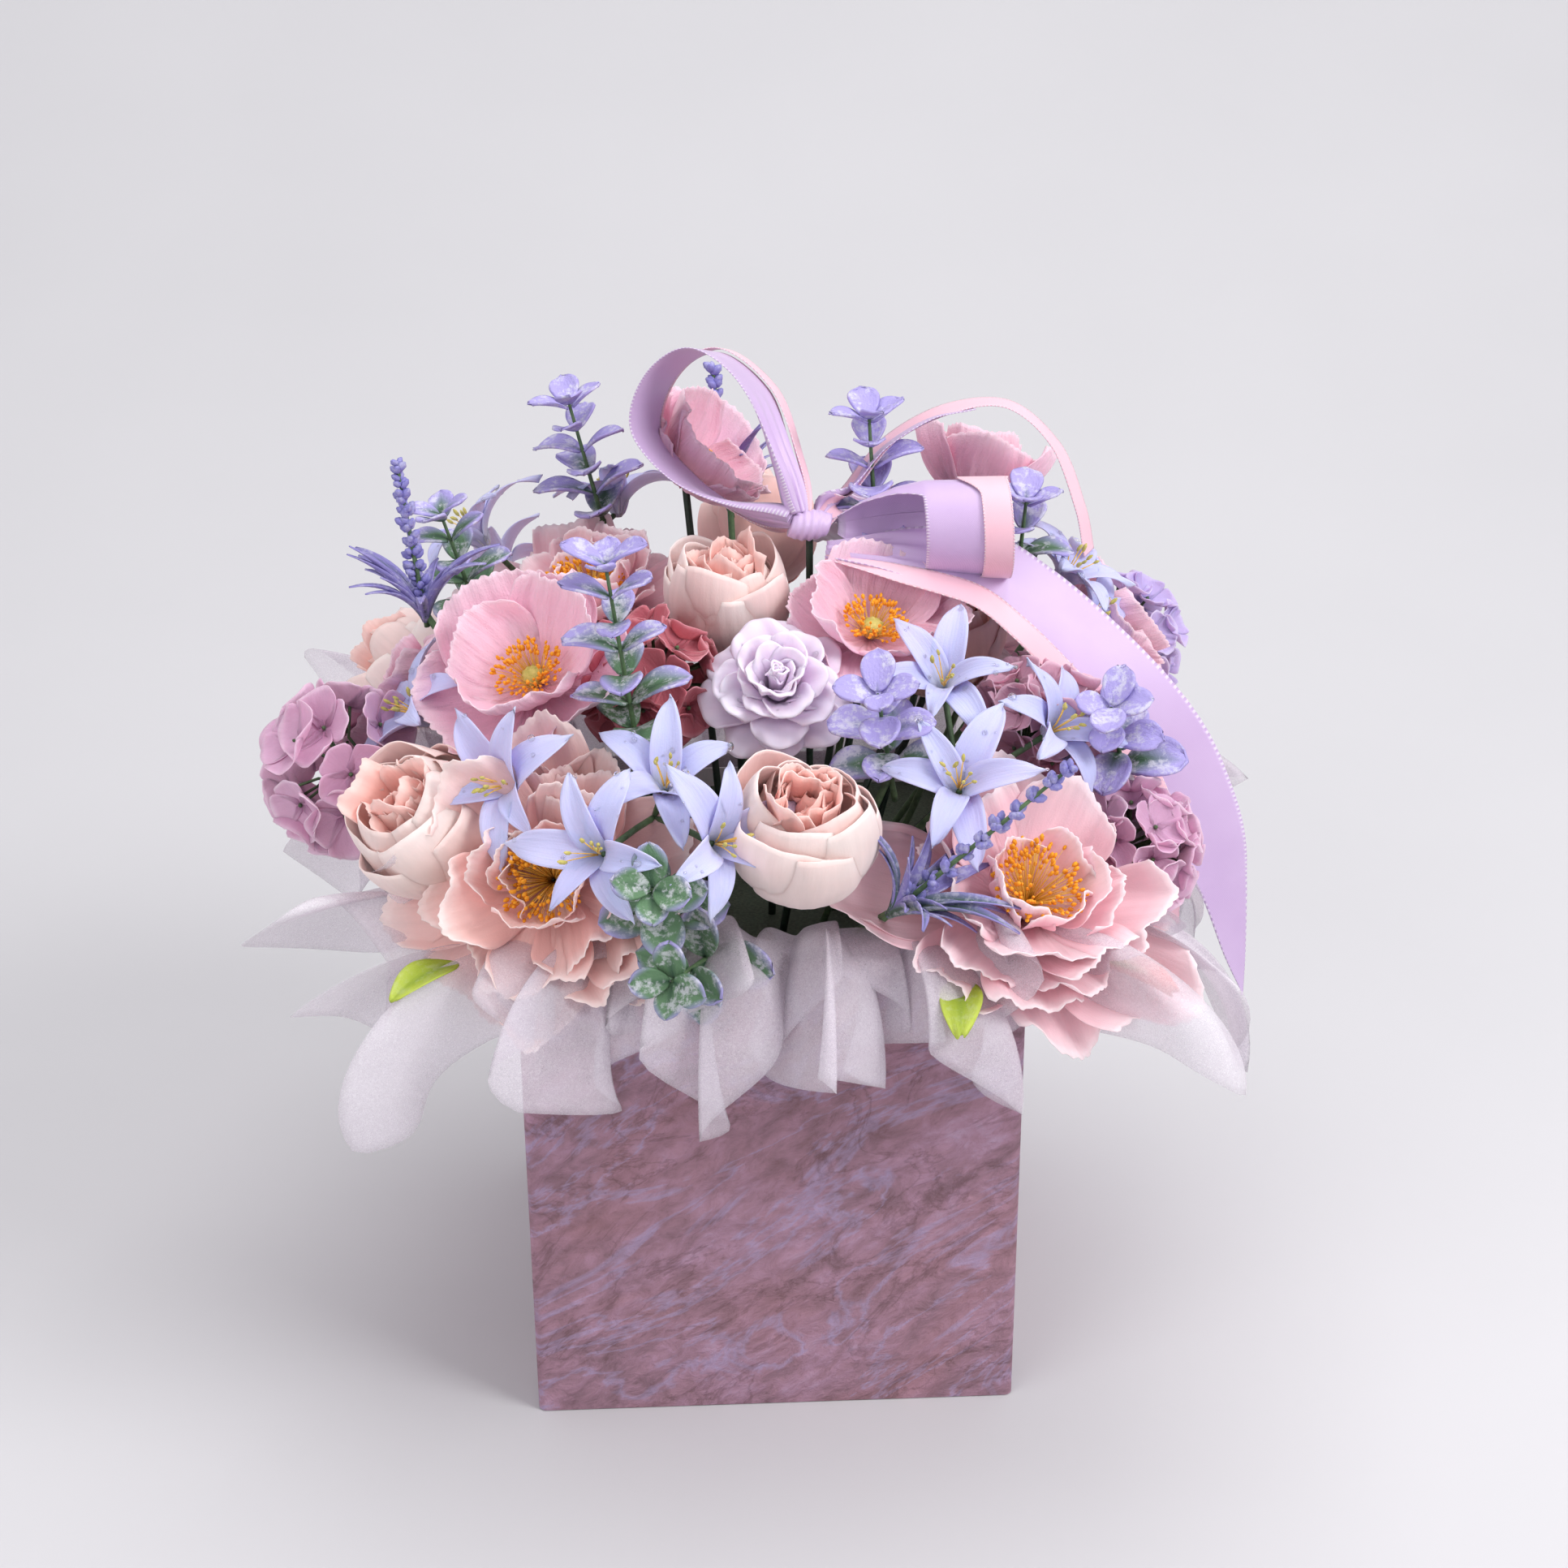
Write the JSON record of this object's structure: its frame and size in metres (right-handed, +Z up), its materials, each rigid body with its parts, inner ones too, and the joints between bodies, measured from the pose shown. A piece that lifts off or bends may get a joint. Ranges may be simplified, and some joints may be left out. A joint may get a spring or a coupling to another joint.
{
  "type": "flower box",
  "caption": "Square paper carton of artificial flowers in foam, ringed by a translucent tissue collar, with a two-colour satin bow on a wire pick.",
  "frame": {"origin": "centre of the box's underside, where it rests", "axes": "+Z up, -Y the front wall, +X to the right seen from the front"},
  "size_m": [0.3598, 0.3231, 0.3782],
  "materials": {
    "carton": "matte printed paper over board",
    "liner": "thin clear-white plastic film",
    "foam": "dry floral foam",
    "tissue": "translucent non-woven tissue",
    "poppy_petal": "crinkled petal cloth",
    "peony_petal": "soft petal cloth with toothed edges",
    "bud_petal": "soft petal cloth",
    "rose_petal": "soft foam petals with water drops",
    "hydrangea_petal": "thin petal cloth",
    "lily_petal": "thin petal cloth with water drops",
    "foliage": "moulded leaves with a frosted bloom",
    "lavender": "moulded florets",
    "peony_leaf": "glazed leaf cloth",
    "stamens": "fine moulded threads",
    "stem": "dark green coated wire",
    "satin": "satin ribbon",
    "pink_satin": "satin ribbon with stitched edges",
    "pick": "green coated wire"
  },
  "bodies": {
    "box": {"carton_sleeve": "carton", "carton_base": "carton"},
    "insert": {"liner_tray": "liner", "foam_lower": "foam", "foam_upper": "foam", "tissue_front_a": "tissue", "tissue_front_b": "tissue", "tissue_right_a": "tissue", "tissue_right_b": "tissue", "tissue_back_a": "tissue", "tissue_back_b": "tissue", "tissue_left_a": "tissue", "tissue_left_b": "tissue", "poppy_front_left": "poppy_petal", "poppy_centre": "poppy_petal", "poppy_top_left": "poppy_petal", "poppy_top_right": "poppy_petal", "poppy_right_back": "poppy_petal", "poppy_right": "poppy_petal", "poppy_left": "poppy_petal", "peony_front_left": "peony_petal", "peony_front_right": "peony_petal", "peony_back_left": "peony_petal", "peony_back": "peony_petal", "peony_back_right": "peony_petal", "bud_front": "bud_petal", "bud_left": "bud_petal", "bud_centre": "bud_petal", "bud_right": "bud_petal", "bud_back": "bud_petal", "bud_back_left": "bud_petal", "rose_front": "rose_petal", "rose_back": "rose_petal", "hydrangea_centre": "hydrangea_petal", "hydrangea_left": "hydrangea_petal", "hydrangea_right": "hydrangea_petal", "hydrangea_right_low": "hydrangea_petal", "hydrangea_back": "hydrangea_petal", "lily_spray_front": "lily_petal", "lily_spray_right": "lily_petal", "lily_spray_back_right": "lily_petal", "lily_spray_left": "lily_petal", "lily_spray_back_left": "lily_petal", "eucalyptus_left": "foliage", "eucalyptus_front": "foliage", "eucalyptus_right": "foliage", "lavender_spikes": "lavender", "peony_leaves": "peony_leaf", "flower_centres": "stamens", "wire_stems": "stem"},
    "bow": {"satin_loop_left": "satin", "satin_loop_right": "satin", "satin_tail_right": "satin", "satin_tail_back": "satin", "bow_knot": "satin", "pink_loop_left": "pink_satin", "pink_loop_right": "pink_satin", "pink_tail_right": "pink_satin", "pink_tail_back": "pink_satin", "bow_pick": "pick"}
  },
  "joints": [
    {"name": "insert_lift", "type": "slide", "parent": "box", "child": "insert", "axis": [0, 0, 1], "range_m": [0, 0.19]},
    {"name": "bow_pull", "type": "slide", "parent": "insert", "child": "bow", "axis": [0, 0, 1], "range_m": [0, 0.06]}
  ]
}
